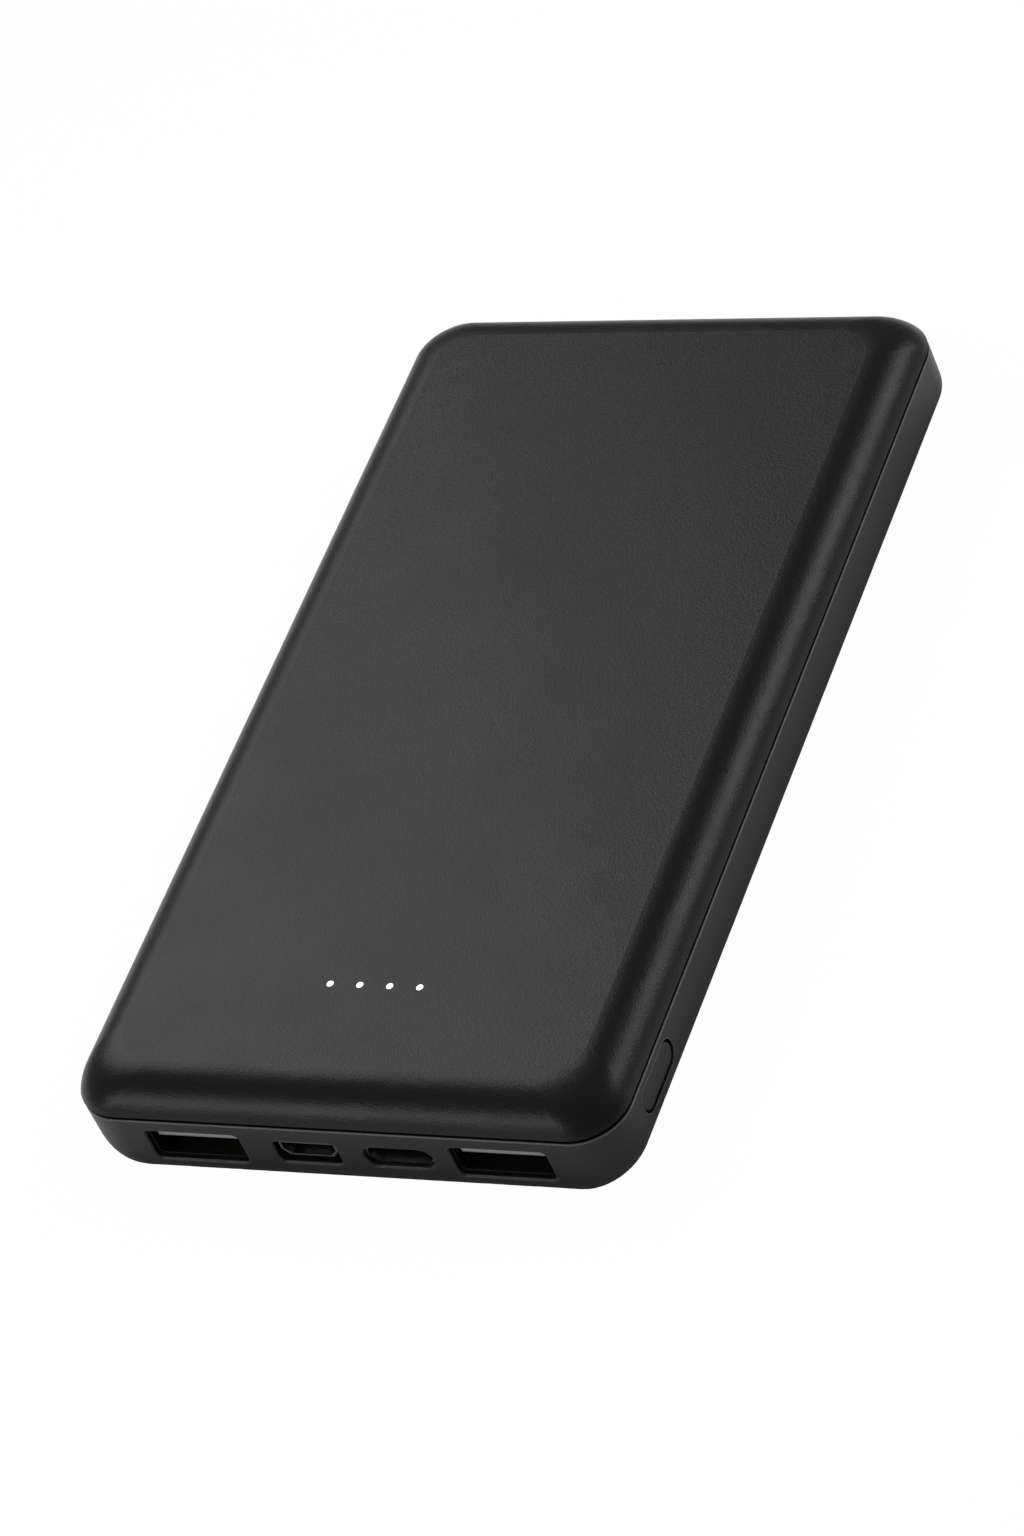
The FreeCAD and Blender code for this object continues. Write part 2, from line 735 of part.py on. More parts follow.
def make_micro():
    """The small slant-cornered charging socket."""
    mouth = "case_length / 2 - mouth_back"
    shell = new_body("micro_usb_shell")

    def outline(sketch, inset):
        half = f"(micro_width / 2 - {inset})"
        top = f"(port_height + micro_height / 2 - {inset})"
        low = f"(port_height - micro_height / 2 + {inset})"
        bend = "(port_height - micro_bend)"
        draw_polygon(sketch, [(f"micro_x - {half}", top), (f"micro_x - {half}", bend),
                              (f"micro_x - {half} + micro_slant", low),
                              (f"micro_x + {half} - micro_slant", low),
                              (f"micro_x + {half}", bend), (f"micro_x + {half}", top)])

    outer = sketch_on(shell, "front", mouth)
    outline(outer, "0")
    pad(shell, outer, "micro_depth", True)
    inner = sketch_on(shell, "front", mouth)
    outline(inner, "small_sheet")
    pocket(shell, inner, "micro_depth - small_sheet")
    feet = sketch_on(shell, "flat", "board_low + board_thick")
    for edge in ("-", ""):
        draw_polygon(feet, corners(f"micro_x + {edge}micro_foot_inner", "micro_foot_front",
                                   f"micro_x + {edge}micro_foot_outer", "micro_foot_back"))
    pad(shell, feet, "port_height - micro_height / 2 + small_sheet / 2 - board_low - board_thick")
    back = "(micro_depth - case_length / 2 + mouth_back - small_sheet)"
    blade = box("micro_blade", ("micro_blade_width", "micro_blade_length", "micro_blade_thick"),
                ("micro_x", f"{back} - micro_blade_length / 2"), "port_height")
    block = box("micro_block", ("micro_block_width", "micro_block_depth", "micro_block_height"),
                ("micro_x", f"{back} - block_gap - micro_block_depth / 2"),
                "port_height - micro_height / 2 + small_sheet + block_gap")
    tongue = join("micro_usb_tongue", [blade, block])
    strips = []
    for k in range(MICRO_STRIPS):
        strips.append(box(f"micro_strip_{k}",
                          ("micro_strip_width", "micro_strip_length", "micro_strip_thick"),
                          (f"micro_x + micro_strip_pitch * {k - (MICRO_STRIPS - 1) / 2}",
                           f"{back} - micro_strip_back - micro_strip_length / 2"),
                          "port_height - micro_strip_thick"))
    return [shell, tongue, group("micro_usb_contacts", strips)]


def make_type_c():
    """The round-ended reversible socket with its central tongue."""
    mouth = "case_length / 2 - mouth_back"
    place = ("type_c_x", "port_height")
    shell = new_body("usb_c_shell")
    outer = sketch_on(shell, "front", mouth)
    draw_stadium(outer, "type_c_width", "type_c_height", place)
    pad(shell, outer, "type_c_depth", True)
    inner = sketch_on(shell, "front", mouth)
    draw_stadium(inner, "type_c_width - 2 * small_sheet", "type_c_height - 2 * small_sheet", place)
    pocket(shell, inner, "type_c_depth - small_sheet")
    back = "(type_c_depth - case_length / 2 + mouth_back - small_sheet)"
    blade = box("type_c_blade",
                ("type_c_blade_width", "type_c_blade_length", "type_c_blade_thick"),
                ("type_c_x", f"{back} - type_c_blade_length / 2"),
                "port_height - type_c_blade_thick / 2")
    block = box("type_c_block",
                ("type_c_block_width", "type_c_block_depth", "type_c_block_height"),
                ("type_c_x", f"{back} - block_gap - type_c_block_depth / 2"),
                "port_height - type_c_block_height / 2")
    tongue = join("usb_c_tongue", [blade, block])
    strips = []
    up = "port_height + type_c_blade_thick / 2"
    down = "port_height - type_c_blade_thick / 2 - type_c_strip_thick"
    for k in range(TYPE_C_STRIPS):
        for face, low in (("up", up), ("down", down)):
            strips.append(box(f"type_c_strip_{face}_{k}",
                              ("type_c_strip_width", "type_c_strip_length", "type_c_strip_thick"),
                              (f"type_c_x + type_c_strip_pitch * {k - (TYPE_C_STRIPS - 1) / 2}",
                               f"{back} - type_c_strip_back - type_c_strip_length / 2"), low))
    return [shell, tongue, group("usb_c_contacts", strips)]


# ---------------------------------------------------------------- the button

def make_button():
    body = new_body("power_button")
    face = "case_width / 2 - button_set_back"
    back = "(case_width / 2 - wall - flange_clear)"
    place = ("button_y", "button_z")
    cap = sketch_on(body, "side", face)
    draw_stadium(cap, "button_length", "button_height", place)
    pad(body, cap, f"{face} - {back} + flange_thick / 2", True)
    front = value(face)
    soften(body, "Fillet", "button_edge",
           lambda e: spans(e, (front, -99, 0), (front, 99, 99)))
    flange = sketch_on(body, "side", back)
    draw_stadium(flange, "flange_length", "flange_height", place)
    pad(body, flange, "flange_thick", True)
    stem = sketch_on(body, "side", f"{back} - flange_thick")
    draw_rounded(stem, "stem_width", "stem_height", "stem_corner", place)
    reach = "switch_front + plunger_out + stem_touch"
    pad(body, stem, f"{back} - flange_thick - ({reach})", True)
    return body


def make_switch():
    """A side-push tact switch standing on the board behind the button."""
    board_top = "board_low + board_thick"
    tall = f"button_z + switch_above - ({board_top})"
    middle = ("switch_front - switch_depth / 2", "button_y")
    block = box("switch_block", ("switch_depth", "switch_length", tall), middle, board_top)
    room = box("switch_room",
               ("plunger_in + cut_past", "plunger_width + 2 * plunger_clear",
                "plunger_height + 2 * plunger_clear"),
               ("switch_front - (plunger_in + cut_past) / 2", "button_y"),
               "button_z - plunger_height / 2 - plunger_clear")
    shell = cut("switch_body", block, room)
    plunger = new_body("switch_plunger")
    sketch = sketch_on(plunger, "side", "switch_front + plunger_out")
    draw_rounded(sketch, "plunger_width", "plunger_height", "plunger_corner",
                 ("button_y", "button_z"))
    pad(plunger, sketch, "plunger_out + plunger_in", True)
    legs = []
    for side in ("-", ""):
        for end in ("-", ""):
            legs.append(box(f"switch_leg_{len(legs)}",
                            ("switch_leg_width", "switch_leg_length", "switch_leg_thick"),
                            (f"switch_front - switch_depth / 2 + {side}switch_leg_x",
                             f"button_y + {end}switch_leg_y"), board_top))
    return [shell, plunger, group("switch_terminals", legs)]


# ----------------------------------------------------------------- the board

def make_board():
    body = new_body("main_board")
    sketch = sketch_on(body, "flat", "board_low")
    draw_rounded(sketch, "board_width", "board_back - board_front", "board_corner",
                 ("0", "(board_front + board_back) / 2"))
    pad(body, sketch, "board_thick")
    notches = sketch_on(body, "flat", "board_low + board_thick")
    reach = "usb_a_depth - case_length / 2 + port_wall + notch_back_clear"
    for sign in ("-", ""):
        left = f"{sign}usb_a_offset - usb_a_width / 2 - notch_side_clear"
        right = f"{sign}usb_a_offset + usb_a_width / 2 + notch_side_clear"
        draw_polygon(notches, corners(left, "-case_length / 2", right, reach))
        draw_circle(notches, "screw_radius + screw_clear", (f"{sign}screw_x", "screw_y"))
    pocket(body, notches, "board_thick")
    return body


def make_board_screws():
    seat = "board_low + board_thick"
    screws = []
    for side, sign in (("left", "-"), ("right", "")):
        middle = (f"{sign}screw_x", "screw_y")
        head = rod(f"screw_head_{side}", "screw_head_radius", "screw_head_thick", middle, seat)
        shank = rod(f"screw_shank_{side}", "screw_radius - screw_shank_play", "screw_length", middle,
                    f"{seat} - screw_length")
        slot_low = f"{seat} + screw_head_thick - screw_slot_depth"
        slot = box(f"screw_slot_{side}",
                   ("screw_slot_length", "screw_slot_width", "screw_head_thick"), middle, slot_low)
        cross = box(f"screw_cross_{side}",
                    ("screw_slot_width", "screw_slot_length", "screw_head_thick"), middle, slot_low)
        blank = join(f"screw_blank_{side}", [head, shank])
        drive = join(f"screw_drive_{side}", [slot, cross])
        screws.append(cut(f"screw_{side}", blank, drive))
    return group("board_screws", screws)


def make_board_parts():
    """Small parts of each kind, soldered to the top of the board."""
    nodes = []
    for label, (size, places) in BOARD_PARTS.items():
        pieces = [box(f"{label}_{k}", size, place, "board_low + board_thick")
                  for k, place in enumerate(places)]
        nodes.append(group(label, pieces))
    return nodes


def make_lights():
    """LEDs on the board, the mask round them and the clear guide above."""
    board_top = "board_low + board_thick"
    leds = [box(f"led_{k}", ("led_width", "led_depth", "led_thick"), (x, "light_y"), board_top)
            for k, x in enumerate(light_places())]
    foot = f"{board_top} + led_thick + guide_gap"
    ceiling = "case_height - cover_wall - guide_ceiling_gap"
    row = f"{LIGHTS - 1} * light_pitch"
    bar_low = f"({ceiling} - guide_bar_thick)"
    bar = box("guide_bar", (f"{row} + guide_bar_width", "guide_bar_width", "guide_bar_thick"),
              ("light_x", "light_y"), bar_low)
    pieces = [bar]
    for k, x in enumerate(light_places()):
        pieces.append(rod(f"guide_post_{k}", "guide_radius", f"{bar_low} - ({foot}) + guide_root",
                          (x, "light_y"), foot))
        pieces.append(rod(f"guide_pin_{k}", "light_radius",
                          f"case_height - guide_pin_back - ({ceiling}) + guide_root",
                          (x, "light_y"), f"{ceiling} - guide_root"))
    guide = join("light_guide", pieces)
    mask_block = box("mask_block", (f"{row} + mask_border", "mask_border", "mask_height"),
                     ("light_x", "light_y"), f"{board_top} + mask_gap")
    wells = [rod(f"mask_well_{k}", "guide_radius + mask_well_clear", "mask_height + cut_past",
                 (x, "light_y"), board_top)
             for k, x in enumerate(light_places())]
    mask = cut("light_mask", mask_block, join("mask_wells", wells))
    return [group("status_leds", leds), guide, mask]


# ------------------------------------------------------------------ the cell

def make_cell():
    """The pouch, its soft pads, its tabs and its protection board."""
    low = "floor + pad_thick"
    middle_y = "(cell_back - cell_length / 2)"
    pouch = new_body("battery_cell")
    sketch = sketch_on(pouch, "flat", low)
    draw_rounded(sketch, "cell_width", "cell_length", "cell_corner", ("0", middle_y))
    pad(pouch, sketch, "cell_thick")
    bottom, top = value(low), value(f"{low} + cell_thick")
    soften(pouch, "Fillet", "cell_edge",
           lambda e: spans(e, (-99, -99, bottom), (99, 99, bottom))
           or spans(e, (-99, -99, top), (99, 99, top)))
    terrace = sketch_on(pouch, "flat", "terrace_low")
    front = "(cell_back - cell_length)"
    draw_polygon(terrace, corners("-terrace_half", f"{front} - terrace_depth",
                                  "terrace_half", f"{front} + terrace_root"))
    pad(pouch, terrace, "terrace_thick")
    under = box("cell_adhesive_pad", ("pad_width", "pad_length", "pad_thick - pad_air"),
                ("0", middle_y), "floor")
    over = box("cover_foam_pad", ("foam_width", "foam_length", "foam_thick"),
               ("0", middle_y), f"{low} + cell_thick")
    tab_y = f"{front} - terrace_depth / 2"
    tabs_low = "terrace_low + terrace_thick"
    guard_low = f"{tabs_low} + tab_thick"
    guard_top = f"{guard_low} + guard_thick"
    tabs = group("cell_tabs", [
        box(f"tab_{k}", ("tab_width", "terrace_depth - tab_margin", "tab_thick"), (x, tab_y), tabs_low)
        for k, x in enumerate(("-tab_x", "tab_x"))])
    guard = box("protection_board", ("guard_width", "terrace_depth - tab_margin", "guard_thick"),
                ("0", tab_y), guard_low)
    guard_chips = group("protection_chips", [
        box(f"guard_chip_{k}", ("guard_chip_width", "guard_chip_length", "guard_chip_thick"),
            (x, tab_y), guard_top)
        for k, x in enumerate(("-guard_chip_pitch", "0", "guard_chip_pitch"))])
    tape = box("insulating_tape", ("tape_width", "terrace_depth - tape_margin", "tape_thick"),
               ("0", tab_y), f"{guard_top} + guard_chip_thick + tape_gap")
    return [pouch, under, over, tabs, guard, guard_chips, tape]


def make_lead(label, points):
    """A round lead: straight runs joined by tangent arcs through points."""
    points = [FreeCAD.Vector(*p) for p in points]
    edges = []
    start = points[0]
    for before, corner, after in zip(points, points[1:], points[2:]):
        into = (corner - before).normalize()
        out = (after - corner).normalize()
        turn = into.getAngle(out)
        reach = LEAD_BEND_SHARE * min((corner - before).Length, (after - corner).Length)
        radius = reach / math.tan(turn / 2)
        print(f"{label}: bend radius {radius:.2f} mm, turn {math.degrees(turn):.0f} degrees")
        first, last = corner - into * reach, corner + out * reach
        inward = (out - into).normalize()
        centre = corner + inward * (radius / math.cos(turn / 2))
        middle = centre - inward * radius
        edges.append(Part.LineSegment(start, first).toShape())
        edges.append(Part.Arc(first, middle, last).toShape())
        start = last
    edges.append(Part.LineSegment(start, points[-1]).toShape())
    route = Part.Wire(edges)
    radius = value("lead_radius")
    heading = (points[1] - points[0]).normalize()
    ring = Part.Wire(Part.makeCircle(radius, points[0], heading))
    node = doc.addObject("Part::Feature", label)
    node.Shape = route.makePipeShell([ring], True, False)
    expected = math.pi * radius ** 2 * route.Length
    print(f"{label}: length {route.Length:.1f} mm, volume {node.Shape.Volume / expected:.3f} of sweep")
    return node


def make_leads():
    """Both leads rise from the board, cross the rib and end on the guard."""
    board_top = value("board_low + board_thick")
    landing = value("terrace_low + terrace_thick + tab_thick + guard_thick + lead_radius + tape_gap")
    leads = []
    for label, sign in (("positive_lead", 1), ("negative_lead", -1)):
        points = [(sign * (LEAD_END + out), y, board_top + up) for out, y, up in LEAD_ROUTE]
        points += [(sign * (LEAD_END + out), y, landing) for out, y in LEAD_LANDING]
        leads.append(make_lead(label, points))
    return leads


# ------------------------------------------------------------------- writing

def check_document():
    for thing in doc.Objects:
        if "Invalid" in thing.State or "Error" in thing.State:
            raise RuntimeError(f"{thing.Name} failed: {thing.State}")


def write_parts(nodes):
    os.makedirs("parts", exist_ok=True)
    for node in nodes:
        node.Label = node.Name
        shape = node.Shape
        if shape.isNull() or not shape.isValid():
            raise RuntimeError(f"{node.Label} has no valid shape")
        shape.exportStep(f"parts/{node.Label}.step")
        print(f"{node.Label}: {len(shape.Solids)} solid, {shape.Volume:.1f} mm3")


fill_sheet()
nodes = [make_bottom_case(), make_top_cover()]
nodes += make_usb_a("left", "-") + make_usb_a("right", "")
nodes += make_micro() + make_type_c()
nodes += [make_button()] + make_switch()
nodes += [make_board(), make_board_screws()] + make_board_parts() + make_lights()
nodes += make_cell() + make_leads()
doc.recompute()
check_document()
write_parts(nodes)
print(f"{len(nodes)} nodes")
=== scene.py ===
# %% [markdown]
# # A slim power bank
#
# The frame holds every part of the power bank at its real size: two moulded
# shells, four sockets, a side button and all the electronics. This script
# gives each part its finish, gives the foam and the adhesive pad their soft
# forms, and sets up a calm studio. Every length is in metres.

# %% Load the frame
import json
import math

import bmesh
import bpy
from mathutils import Matrix, Vector, noise


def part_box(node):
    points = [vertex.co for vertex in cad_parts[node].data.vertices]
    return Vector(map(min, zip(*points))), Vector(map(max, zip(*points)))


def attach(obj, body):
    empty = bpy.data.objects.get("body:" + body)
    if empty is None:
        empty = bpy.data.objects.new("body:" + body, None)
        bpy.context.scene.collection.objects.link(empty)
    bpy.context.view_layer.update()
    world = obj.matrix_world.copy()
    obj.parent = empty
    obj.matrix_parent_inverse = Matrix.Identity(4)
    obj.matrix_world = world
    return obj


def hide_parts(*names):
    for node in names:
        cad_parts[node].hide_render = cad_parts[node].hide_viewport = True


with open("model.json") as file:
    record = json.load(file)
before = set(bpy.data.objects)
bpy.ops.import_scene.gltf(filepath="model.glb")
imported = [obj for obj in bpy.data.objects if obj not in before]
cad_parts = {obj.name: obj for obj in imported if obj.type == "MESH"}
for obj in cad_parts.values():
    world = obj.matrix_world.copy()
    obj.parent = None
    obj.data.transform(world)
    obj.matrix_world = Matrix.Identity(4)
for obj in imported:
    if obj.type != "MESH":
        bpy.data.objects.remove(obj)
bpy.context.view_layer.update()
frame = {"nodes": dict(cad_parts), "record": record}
MM = 0.001
nodes = frame["nodes"]

# %% [markdown]
# ## Camera
#
# A long lens keeps the long edges of the case nearly parallel. The camera is
# placed by four plain facts: the point it looks at, how far away it stands,
# the compass angle and height it looks from, and how far it is rolled. A
# tracking constraint would be an alternative, but it can't hold a roll, so
# the three camera axes are worked out and written as a matrix.

# %% Camera
AIM = Vector((0.96, -7.49, 7.0)) * MM
DISTANCE = 717.2 * MM
AZIMUTH, ELEVATION, ROLL = (math.radians(a) for a in (37.699, 41.803, -25.955))
LENS_MM = 138.77


def camera_axes(azimuth, elevation, roll):
    """The right, up and backward directions of a rolled camera."""
    back = Vector((math.sin(azimuth) * math.cos(elevation),
                   -math.cos(azimuth) * math.cos(elevation), math.sin(elevation)))
    level = Vector((math.cos(azimuth), math.sin(azimuth), 0))
    upright = back.cross(level)
    right = level * math.cos(roll) + upright * math.sin(roll)
    return right, back.cross(right), back


def make_camera():
    data = bpy.data.cameras.new("studio_camera")
    data.lens = LENS_MM
    camera = bpy.data.objects.new("studio_camera", data)
    bpy.context.scene.collection.objects.link(camera)
    right, up, back = camera_axes(AZIMUTH, ELEVATION, ROLL)
    turn = Matrix((right, up, back)).transposed().to_4x4()
    camera.matrix_world = Matrix.Translation(AIM + back * DISTANCE) @ turn
    bpy.context.scene.camera = camera
    return camera


camera = make_camera()
print("camera at", [round(v, 3) for v in camera.matrix_world.translation])

# %% [markdown]
# ## Building materials from small helpers
#
# A node tree can be drawn in the editor, but a script repeats it exactly.
# Written out line by line it is long, so three helpers keep it short: one
# adds a node with its settings and its incoming links, one adds a piece of
# arithmetic, and one starts a material with its Principled BSDF.

# %% Node helpers
def add_node(tree, kind, links=None, settings=None, **inputs):
    """A node with plain input values, attribute settings and incoming links."""
    node = tree.nodes.new("ShaderNode" + kind)
    for name, setting in (settings or {}).items():
        setattr(node, name, setting)
    for name, number in inputs.items():
        node.inputs[name.replace("_", " ")].default_value = number
    for place, source in (links or {}).items():
        tree.links.new(source, node.inputs[place])
    return node


def math_node(tree, operation, first, second, clamp=False):
    """One operation on two terms, each a number or a socket."""
    node = add_node(tree, "Math", settings={"operation": operation, "use_clamp": clamp})
    for place, term in enumerate((first, second)):
        if isinstance(term, (int, float)):
            node.inputs[place].default_value = term
        else:
            tree.links.new(term, node.inputs[place])
    return node.outputs[0]


def start_material(name, **inputs):
    """A material with its Principled BSDF set from plain values."""
    material = bpy.data.materials.new(name)
    material.use_nodes = True
    shader = material.node_tree.nodes["Principled BSDF"]
    for key, number in inputs.items():
        shader.inputs[key.replace("_", " ")].default_value = number
    return material, material.node_tree, shader


# %% [markdown]
# ## Node groups
#
# Grain, worn edges and drawn lines are seen on many parts. Their nodes could
# be copied into every material, but then a change is made many times over. A
# node group is built once, with named inputs and outputs, and each material
# places it with its own values.

# %% Group helpers
def new_group(name, inputs, outputs):
    """A shader node group with named, typed sockets and default values."""
    group = bpy.data.node_groups.new(name, "ShaderNodeTree")
    for label, kind, default in inputs:
        socket = group.interface.new_socket(label, in_out="INPUT", socket_type="NodeSocket" + kind)
        socket.default_value = default
    for label, kind in outputs:
        group.interface.new_socket(label, in_out="OUTPUT", socket_type="NodeSocket" + kind)
    entry = group.nodes.new("NodeGroupInput")
    leave = group.nodes.new("NodeGroupOutput")
    place = group.nodes.new("ShaderNodeTexCoord")
    return group, entry.outputs, leave.inputs, place.outputs["Object"]


def use_group(tree, group, **inputs):
    """A node group placed in a material, with this material's own values."""
    node = tree.nodes.new("ShaderNodeGroup")
    node.node_tree = group
    for name, number in inputs.items():
        node.inputs[name.replace("_", " ")].default_value = number
    return node


# %% [markdown]
# ## Moulded grain
#
# The steel mould of the case is spark-eroded, and that leaves a fine, even
# sand texture on the plastic. An image could hold it, but noise in object
# space needs no unwrapping and never repeats. Two sizes of noise are added:
# the sharp grain, and slow patches where the mould is a little more worn.

# %% Group: moulded grain
def make_grain_group():
    group, given, out, place = new_group(
        "moulded_grain",
        [("Grain Size", "Float", 0.0002), ("Patch Size", "Float", 0.012),
         ("Depth", "Float", 1.0), ("Patch Depth", "Float", 0.1)],
        [("Height", "Float"), ("Patches", "Float"), ("Speckle", "Float")])
    fine_scale = math_node(group, "DIVIDE", 1.0, given["Grain Size"])
    slow_scale = math_node(group, "DIVIDE", 1.0, given["Patch Size"])
    fine = add_node(group, "TexNoise", {"Vector": place, "Scale": fine_scale},
                    Detail=2.0, Roughness=0.6)
    slow = add_node(group, "TexNoise", {"Vector": place, "Scale": slow_scale}, Detail=3.0)
    fine_height = math_node(group, "MULTIPLY", fine.outputs["Fac"], given["Depth"])
    slow_height = math_node(group, "MULTIPLY", slow.outputs["Fac"], given["Patch Depth"])
    group.links.new(math_node(group, "ADD", fine_height, slow_height), out["Height"])
    group.links.new(slow.outputs["Fac"], out["Patches"])
    group.links.new(fine.outputs["Fac"], out["Speckle"])
    return group


GRAIN = make_grain_group()
print("group", GRAIN.name, "with", len(GRAIN.nodes), "nodes")

# %% [markdown]
# ## Edge wear and painted highlight
#
# Corners of a case that lives in a bag are rubbed smoother than its flats.
# Pointiness would show this, but it depends on how finely a mesh is divided.
# The Bevel node compares the true normal with a rounded one, so it finds
# edges on any mesh. The group gives a mask of 0 on flats and 1 on edges.
# The plastics paint a pale colour under it: partly rubbed wear, partly a
# painted highlight where the edges catch the light.

# %% Group: edge wear and painted highlight
WEAR_AND_HIGHLIGHT_SCALE = 900.0


def make_edge_group():
    group, given, out, place = new_group(
        "edge_wear_and_highlight", [("Width", "Float", 0.0004), ("Gain", "Float", 2.0)], [("Edge", "Float")])
    bevel = add_node(group, "Bevel", {"Radius": given["Width"]}, settings={"samples": 4})
    surface = group.nodes.new("ShaderNodeNewGeometry")
    dot = add_node(group, "VectorMath", {0: bevel.outputs[0], 1: surface.outputs["Normal"]},
                   settings={"operation": "DOT_PRODUCT"})
    bend = math_node(group, "SUBTRACT", 1.0, dot.outputs["Value"])
    broken = add_node(group, "TexNoise", {"Vector": place}, Scale=WEAR_AND_HIGHLIGHT_SCALE, Detail=2.0)
    rubbed = math_node(group, "MULTIPLY", bend, given["Gain"])
    group.links.new(math_node(group, "MULTIPLY", rubbed, broken.outputs["Fac"], True), out["Edge"])
    return group


EDGES = make_edge_group()
print("group", EDGES.name, "with", len(EDGES.nodes), "nodes")

# %% [markdown]
# ## Drawn metal
#
# Socket shells are stamped from rolled strip, which keeps faint lines along
# the rolling direction. Noise squeezed along one axis gives lines. The same
# group serves the legs, tabs and contacts, and the screws, where the lines
# stand upright.

# %% Group: drawn metal
STAIN_SCALE = 420.0


def make_drawn_group():
    group, given, out, place = new_group(
        "drawn_metal", [("Line Width", "Float", 0.00006), ("Stretch", "Vector", (1, 0.04, 1))],
        [("Height", "Float"), ("Tone", "Float")])
    squeezed = add_node(group, "VectorMath", {0: place, 1: given["Stretch"]},
                        settings={"operation": "MULTIPLY"})
    scale = math_node(group, "DIVIDE", 1.0, given["Line Width"])
    lines = add_node(group, "TexNoise", {"Vector": squeezed.outputs[0], "Scale": scale}, Detail=3.0)
    stains = add_node(group, "TexNoise", {"Vector": place}, Scale=STAIN_SCALE, Detail=4.0)
    group.links.new(lines.outputs["Fac"], out["Height"])
    group.links.new(stains.outputs["Fac"], out["Tone"])
    return group


DRAWN = make_drawn_group()
print("group", DRAWN.name, "with", len(DRAWN.nodes), "nodes")

# %% [markdown]
# ## Moulded plastics
#
# Each black moulding is a dark base with a soft gloss. Colour changes stay
# small, because real dyed plastic is one colour all through: roughness and
# the fine bump move more. Two masks made from height help the seam. The rim
# of the case is painted pale, partly as wear where hands open and close over
# it and partly as a painted highlight along the seam. The faces inside the
# joint carry a painted shade, near black and dull, where the cover shades
# the seam.
# A painted vertex mask would do the same, but a height needs no painting.
# The cover, case, button, switch and tongues share this function.

# %% Masks and colour mixes
def height_mask(tree, low, high):
    """1 on the surface between two heights, 0 elsewhere."""
    place = tree.nodes.new("ShaderNodeTexCoord").outputs["Object"]
    height = add_node(tree, "SeparateXYZ", {0: place}).outputs["Z"]
    above = math_node(tree, "GREATER_THAN", height, low)
    return math_node(tree, "MULTIPLY", above, math_node(tree, "LESS_THAN", height, high))


def two_tone(tree, factor, first, second):
    """first where factor is 0 and second where it is 1; each a colour or a socket."""
    mix = add_node(tree, "Mix", {"Factor": factor}, settings={"data_type": "RGBA"})
    for place, tone in ((mix.inputs["A"], first), (mix.inputs["B"], second)):
        if isinstance(tone, tuple):
            place.default_value = (*tone, 1)
        else:
            tree.links.new(tone, place)
    return mix.outputs["Result"]


# %% Material function: moulded plastic
# A pale colour for edges and the rim: partly wear, partly a painted highlight.
WEAR_AND_HIGHLIGHT = (0.16, 0.16, 0.162)
# A near-black painted shade for the faces inside the seam.
PAINTED_SHADE = (0.0005, 0.0005, 0.0005)
PLASTIC_GLOSS = 0.27
PATCH_SPREAD = 0.08
EDGE_POLISH = 0.1
JOINT_DULL = 0.6
FACES_UP = 0.97


def moulded_plastic(name, dark, light, roughness, grain, depth, bump=0.00003, edge_gain=7.0,
                    rim=None, joint=None):
    """Dyed plastic between two close colours, with grain and pale edges of wear and painted
    highlight.

    rim is the span of heights of a pale edge line, partly wear and partly a
    painted highlight. joint is the span of heights that lies in the seam,
    where the plastic is painted in shade, near black and dull; on the rim
    that is only the part that faces up.
    """
    material, tree, shader = start_material(name, Specular_IOR_Level=PLASTIC_GLOSS)
    marks = use_group(tree, GRAIN, Grain_Size=grain, Depth=depth)
    mask = use_group(tree, EDGES, Gain=edge_gain).outputs["Edge"]
    if rim:
        # The rim band joins the pale mask: partly wear, partly a painted highlight along the seam.
        mask = math_node(tree, "MAXIMUM", mask, height_mask(tree, *rim))
    colour = two_tone(tree, marks.outputs["Speckle"], dark, light)
    if joint:
        shade = height_mask(tree, *joint)
        if rim:
            facing = add_node(tree, "SeparateXYZ",
                              {0: tree.nodes.new("ShaderNodeNewGeometry").outputs["Normal"]})
            level = math_node(tree, "GREATER_THAN", facing.outputs["Z"], FACES_UP)
            shade = math_node(tree, "MULTIPLY", shade, level)
        mask = math_node(tree, "SUBTRACT", mask, shade, True)
    # Edges and rim take the pale colour: partly wear, partly a painted highlight.
    colour = two_tone(tree, mask, colour, WEAR_AND_HIGHLIGHT)
    if joint:
        # Inside the joint the colour is a painted shade, near black.
        colour = two_tone(tree, shade, colour, PAINTED_SHADE)
    tree.links.new(colour, shader.inputs["Base Color"])
    patch = math_node(tree, "MULTIPLY", marks.outputs["Patches"], PATCH_SPREAD)
    rough = math_node(tree, "ADD", patch, roughness - PATCH_SPREAD / 2)
    polish = math_node(tree, "MULTIPLY", mask, EDGE_POLISH)
    rough = math_node(tree, "SUBTRACT", rough, polish)
    if joint:
        dull = math_node(tree, "MULTIPLY", shade, JOINT_DULL)
        rough = math_node(tree, "ADD", rough, dull, True)
    tree.links.new(rough, shader.inputs["Roughness"])
    relief = add_node(tree, "Bump", {"Height": marks.outputs["Height"]},
                      Strength=1.0, Distance=bump)
    tree.links.new(relief.outputs[0], shader.inputs["Normal"])
    return material


# %% [markdown]
# The case colour is charcoal. Its base is much darker than it looks, because
# the sheen of the studio adds most of the grey that one sees. The pale rim of
# the bottom case, partly wear and partly a painted highlight, tells where the
# seam lies, and a painted shade darkens the joint above it.

# %% Case, button, switch and tongue plastics
RIM_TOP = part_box("bottom_case")[1][2]
EDGE_LINE = 0.19 * MM
JOINT_GAP = 0.4 * MM
ABOVE_ALL = 1.0
CHARCOAL = (0.0040, 0.0040, 0.0042), (0.0170, 0.0170, 0.0173)
CASE_GRAIN = 0.00026
finishes = {}
